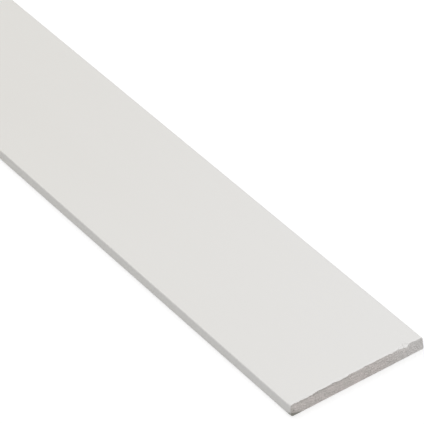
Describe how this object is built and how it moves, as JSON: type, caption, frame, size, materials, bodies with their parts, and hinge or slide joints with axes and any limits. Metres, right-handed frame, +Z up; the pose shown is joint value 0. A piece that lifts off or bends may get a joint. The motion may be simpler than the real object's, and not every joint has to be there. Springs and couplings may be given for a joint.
{
  "type": "flat trim strip",
  "caption": "Flat white plastic trim strip of plain rectangular section, with slightly rounded long edges and square sawn ends, for covering joints and edging panels.",
  "frame": {"origin": "centre of the back face, which lies on the floor", "axes": "+X along the length towards the pictured sawn end, +Y across the width, +Z up through the thickness to the show face"},
  "size_m": [1, 0.045, 0.004],
  "materials": {
    "white_pvc": "smooth satin extruded skin, with rough matt sawn ends"
  },
  "bodies": {
    "root": {"trim_strip": "white_pvc"}
  },
  "joints": []
}
